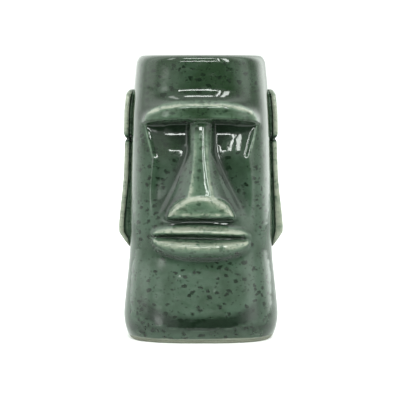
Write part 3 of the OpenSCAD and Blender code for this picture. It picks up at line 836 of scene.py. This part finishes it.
def glaze_material():
    material = bpy.data.materials.new("green_glaze")
    n = Nodes(material)
    place = n.add("ShaderNodeTexCoord").outputs["Object"]
    stretch = n.add("ShaderNodeMapping")
    stretch.inputs["Scale"].default_value = (1.0, 1.0, 1.35)
    n.join(place, stretch.inputs["Vector"])
    place_wide = stretch.outputs["Vector"]

    clouds = n.add("ShaderNodeTexNoise", Scale=70.0, Detail=4.0, Roughness=0.6)
    n.join(place, clouds.inputs["Vector"])
    fine = n.add("ShaderNodeTexNoise", Scale=420.0, Detail=3.0, Roughness=0.6)
    n.join(place, fine.inputs["Vector"])
    warp = n.add("ShaderNodeTexNoise", Scale=260.0, Detail=2.0)
    n.join(place_wide, warp.inputs["Vector"])
    shift = n.tree.nodes.new("ShaderNodeVectorMath")
    shift.operation = "MULTIPLY_ADD"
    n.join(warp.outputs["Color"], shift.inputs[0])
    shift.inputs[1].default_value = (0.004, 0.004, 0.004)
    n.join(place_wide, shift.inputs[2])

    def specks(scale, size, share):
        cells = n.add("ShaderNodeTexVoronoi", Scale=scale, Randomness=1.0)
        n.join(shift.outputs[0], cells.inputs["Vector"])
        spot = n.ramp(cells.outputs["Distance"], size, size * 0.55)
        picked = n.add("ShaderNodeSeparateColor")
        n.join(cells.outputs["Color"], picked.inputs[0])
        kept = n.maths("LESS_THAN", picked.outputs[0], share)
        return n.maths("MULTIPLY", spot, kept)

    thin_and_lit = n.add("ShaderNodeAttribute", attribute_name="thin_and_lit").outputs["Fac"]
    pool_and_shade = n.add("ShaderNodeAttribute", attribute_name="pool_and_shade").outputs["Fac"]
    split = n.add("ShaderNodeSeparateXYZ")
    n.join(place, split.inputs[0])
    higher = n.maths("MULTIPLY", n.ramp(split.outputs["Z"], DARKER_FROM * MM, DARKER_TO * MM), 0.7)
    cloudy = n.maths("MULTIPLY", n.ramp(clouds.outputs["Fac"], 0.35, 0.68), 0.6)
    darker = n.maths("ADD", higher, cloudy, limit=True)
    base = n.colour_mix(darker, GLAZE_MID, GLAZE_DARK)
    # Darker where the glaze pools, and where shade is painted
    base = n.colour_mix(n.maths("MULTIPLY", pool_and_shade, 0.8), base, GLAZE_POOL_AND_SHADE)
    streaks = n.add("ShaderNodeTexNoise", Scale=110.0, Detail=4.0, Roughness=0.65)
    flat = n.add("ShaderNodeMapping")
    flat.inputs["Scale"].default_value = (1.0, 1.0, 2.8)
    n.join(place, flat.inputs["Vector"])
    n.join(flat.outputs["Vector"], streaks.inputs["Vector"])
    brushed = n.maths("ADD", n.maths("MULTIPLY", n.ramp(streaks.outputs["Fac"], 0.34, 0.6), 0.35), 0.65)
    # Paler where the glaze runs thin, and where highlights are painted
    edge = n.maths("MULTIPLY", n.ramp(thin_and_lit, 0.1, 0.9), n.ramp(fine.outputs["Fac"], 0.1, 0.5))
    edge = n.maths("MULTIPLY", edge, brushed)
    base = n.colour_mix(n.ramp(edge, 0.02, 0.45), base, GLAZE_LIGHT)
    base = n.colour_mix(n.ramp(edge, 0.35, 1.0), base, GLAZE_PALE)
    small_spots = n.maths("MULTIPLY", specks(460.0, 0.36, 0.6), 0.7)
    spots = n.maths("MAXIMUM", specks(215.0, 0.38, 0.75), small_spots)
    spots = n.maths("MULTIPLY", spots, n.maths("SUBTRACT", 1.0, n.maths("MULTIPLY", thin_and_lit, 0.85)))
    base = n.colour_mix(n.maths("MULTIPLY", spots, 0.9), base, SPECK)

    wander = n.maths("MULTIPLY", clouds.outputs["Fac"], 0.0016)
    height = n.maths("SUBTRACT", split.outputs["Z"], wander)
    bare = n.ramp(height, FOOT * MM + 0.0003, FOOT * MM - 0.0006)
    base = n.colour_mix(bare, base, CLAY)
    n.join(base, n.shader.inputs["Base Color"])
    rough = n.maths("ADD", n.maths("MULTIPLY", clouds.outputs["Fac"], 0.05), 0.05)
    rough = n.maths("ADD", rough, n.maths("MULTIPLY", bare, 0.6), limit=True)
    n.join(rough, n.shader.inputs["Roughness"])
    n.shader.inputs["IOR"].default_value = 1.52

    peel = n.add("ShaderNodeTexNoise", Scale=230.0, Detail=2.0, Roughness=0.45)
    n.join(place, peel.inputs["Vector"])
    bump = n.add("ShaderNodeBump", Strength=0.3, Distance=0.0003)
    n.join(peel.outputs["Fac"], bump.inputs["Height"])
    n.join(bump.outputs["Normal"], n.shader.inputs["Normal"])
    return material


def clay_material():
    material = bpy.data.materials.new("bare_clay")
    n = Nodes(material)
    place = n.add("ShaderNodeTexCoord").outputs["Object"]
    grain = n.add("ShaderNodeTexNoise", Scale=1500.0, Detail=5.0, Roughness=0.7)
    n.join(place, grain.inputs["Vector"])
    stain = n.add("ShaderNodeTexNoise", Scale=90.0, Detail=3.0)
    n.join(place, stain.inputs["Vector"])
    base = n.colour_mix(n.ramp(grain.outputs["Fac"], 0.3, 0.75), CLAY, CLAY_DARK)
    stained = n.maths("MULTIPLY", n.ramp(stain.outputs["Fac"], 0.5, 0.75), 0.4)
    base = n.colour_mix(stained, base, CLAY_STAIN)
    n.join(base, n.shader.inputs["Base Color"])
    n.shader.inputs["Roughness"].default_value = 0.85
    bump = n.add("ShaderNodeBump", Strength=0.5, Distance=0.0002)
    n.join(grain.outputs["Fac"], bump.inputs["Height"])
    n.join(bump.outputs["Normal"], n.shader.inputs["Normal"])
    return material


# ---- The mug's pieces ----

glaze = glaze_material()
clay = clay_material()
pieces = [
    (make_cup(), "cup_body", "glaze", glaze),
    (make_brow(), "brow_ridge", "glaze", glaze),
    (make_nose(), "nose", "glaze", glaze),
    (make_lip("glazed_upper_lip", 1, UPPER_LIP), "upper_lip", "glaze", glaze),
    (make_lip("glazed_lower_lip", -1, LOWER_LIP), "lower_lip", "glaze", glaze),
    (upper_ear(-1, "glazed_left_ear"), "left_ear", "glaze", glaze),
    (upper_ear(1, "glazed_right_ear"), "right_ear", "glaze", glaze),
    (ear_lobe(-1, "glazed_left_earlobe"), "left_earlobe", "glaze", glaze),
    (ear_lobe(1, "glazed_right_earlobe"), "right_earlobe", "glaze", glaze),
    (make_foot(), "foot_ring", "bare_clay", clay),
]
for piece, node, slot, material in pieces:
    piece.data.materials.append(material)
    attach(piece, "root")
    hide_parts(node)


# ---- Floor, light and camera ----

def make_sheet(name, half, front, back, height):
    corners = [(x, y, height) for x, y in ((-half, front), (half, front), (half, back), (-half, back))]
    mesh = bpy.data.meshes.new(name)
    mesh.from_pydata(corners, [], [(0, 1, 2, 3)])
    made = bpy.data.objects.new(name, mesh)
    bpy.context.scene.collection.objects.link(made)
    return made


def make_floor():
    """White table. What the glaze mirrors of it ends a short way in front, as a product table does."""
    material = bpy.data.materials.new("white_table")
    n = Nodes(material)
    n.shader.inputs["Base Color"].default_value = (0.95, 0.95, 0.95, 1)
    n.shader.inputs["Roughness"].default_value = 0.6
    table = make_sheet("table_top", 3.0, -3.0, 3.0, 0.0)
    table.visible_glossy = False
    mirrored = make_sheet("table_mirrored", 1.0, -0.22, 3.0, -0.0002)
    mirrored.visible_camera = mirrored.visible_diffuse = mirrored.visible_shadow = False
    for sheet in (table, mirrored):
        sheet.data.materials.append(material)


def make_world():
    """White tent, brighter at its right side, with a dark opening in front framed by light strips.

    Directions are in degrees: azimuth from straight in front, positive to the right, and elevation.
    """
    world = bpy.data.worlds.new("tent")
    n = Nodes(world, "Background")
    toward = n.add("ShaderNodeSeparateXYZ")
    n.join(n.add("ShaderNodeTexCoord").outputs["Generated"], toward.inputs[0])
    elevation = n.maths("MULTIPLY", n.maths("ARCSINE", toward.outputs["Z"]), math.degrees(1))
    forward = n.maths("MULTIPLY", toward.outputs["Y"], -1.0)
    azimuth = n.maths("MULTIPLY", n.maths("ARCTAN2", toward.outputs["X"], forward), math.degrees(1))

    def scaled(value, factor):
        return n.maths("MULTIPLY", value, factor)

    tent = n.maths("ADD", scaled(n.ramp(elevation, 5.0, 40.0), 0.5), 0.8)
    tent = n.maths("ADD", tent, scaled(n.ramp(forward, 0.2, -0.4), 0.4))
    for left, right, soft, power in ((112, 150, 16, 2.4), (48, 74, 10, 1.3), (-155, -114, 26, 1.0)):
        tent = n.maths("ADD", tent, scaled(n.band(azimuth, left, right, soft), power))
    low_left = n.maths("MULTIPLY", n.band(azimuth, -54, -32, 9), n.ramp(elevation, 8.0, 3.0))
    high_left = n.maths("MULTIPLY", n.band(azimuth, -100, -64, 9), n.ramp(elevation, 0.0, 5.0))
    tent = n.maths("ADD", tent, n.maths("ADD", low_left, scaled(high_left, 1.3)))
    front = n.maths("ADD", scaled(n.ramp(elevation, 4.2, 5.2), 0.57), 0.03)
    front = n.maths("SUBTRACT", front, scaled(n.ramp(elevation, 11.0, 14.0), 0.35))
    front = n.maths("ADD", front, scaled(n.ramp(elevation, 25.0, 55.0), 1.1))
    window = n.band(azimuth, -14.0, 34.0, 8.0)
    beneath = n.maths("MULTIPLY", n.band(azimuth, -60.0, 60.0, 20.0), n.ramp(elevation, 1.0, -4.0))
    window = n.maths("MAXIMUM", window, beneath)
    tent = n.maths("ADD", tent, n.maths("MULTIPLY", window, n.maths("SUBTRACT", front, tent)))
    strips = [
        (-16, 9, 8.9, 12.0, 0.3, 22), (-16, 9, 45, 52, 0.8, 18),
        (11.2, 14.0, 10, 47, 0.4, 20), (20.5, 26.5, 10, 47, 0.8, 15),
        (-46, -34, -6, 3, 4.0, 2.5), (-42, -32, 30, 60, 2.0, 5),
    ]
    for left, right, low, high, soft, power in strips:
        strip = n.maths("MULTIPLY", n.band(azimuth, left, right, soft), n.band(elevation, low, high, soft))
        tent = n.maths("ADD", tent, scaled(strip, power))
    n.join(tent, n.shader.inputs["Strength"])
    n.shader.inputs["Color"].default_value = (0.95, 1.0, 0.96, 1)
    bpy.context.scene.world = world


def make_camera():
    distance = 1.25
    middle_z, eye_z, aside = 75.3 * MM, 157 * MM, -0.5 * MM
    front = -BASE_Y * MM
    seen_height = 207.6 * MM
    data = bpy.data.cameras.new("camera")
    data.sensor_width = 36.0
    made = bpy.data.objects.new("camera", data)
    made.location = (aside, front - distance, eye_z)
    toward = Vector((aside, front, middle_z)) - made.location
    data.lens = data.sensor_width * toward.length / seen_height
    made.rotation_euler = toward.to_track_quat("-Z", "Y").to_euler()
    bpy.context.scene.collection.objects.link(made)
    bpy.context.scene.camera = made


make_floor()
make_world()
make_camera()
bpy.context.scene.view_settings.view_transform = "Standard"
